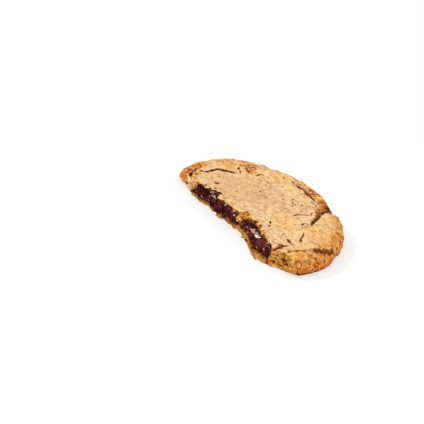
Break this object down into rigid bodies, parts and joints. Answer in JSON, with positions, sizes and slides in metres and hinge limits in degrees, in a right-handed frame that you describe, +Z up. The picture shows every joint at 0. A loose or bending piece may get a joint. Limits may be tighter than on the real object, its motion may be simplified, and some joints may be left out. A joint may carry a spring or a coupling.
{
  "type": "filled chocolate chip cookie half",
  "caption": "Half of a round, thick, filled cookie, broken straight across: cracked golden dough with a chocolate layer showing along the torn face.",
  "frame": {"origin": "middle of the footprint, on the surface that the half cookie lies on", "axes": "+Z up through the baked top, +X along the break, +Y from the break into the half and towards its round rim"},
  "size_m": [0.0972, 0.0638, 0.0117],
  "materials": {
    "baked_dough": "baked golden-tan crust, matt, with a paler yellow torn crumb",
    "chocolate_filling": "soft dark chocolate cream, wet and glossy where it is torn"
  },
  "bodies": {
    "root": {"dough": "baked_dough", "filling": "chocolate_filling"}
  },
  "joints": []
}
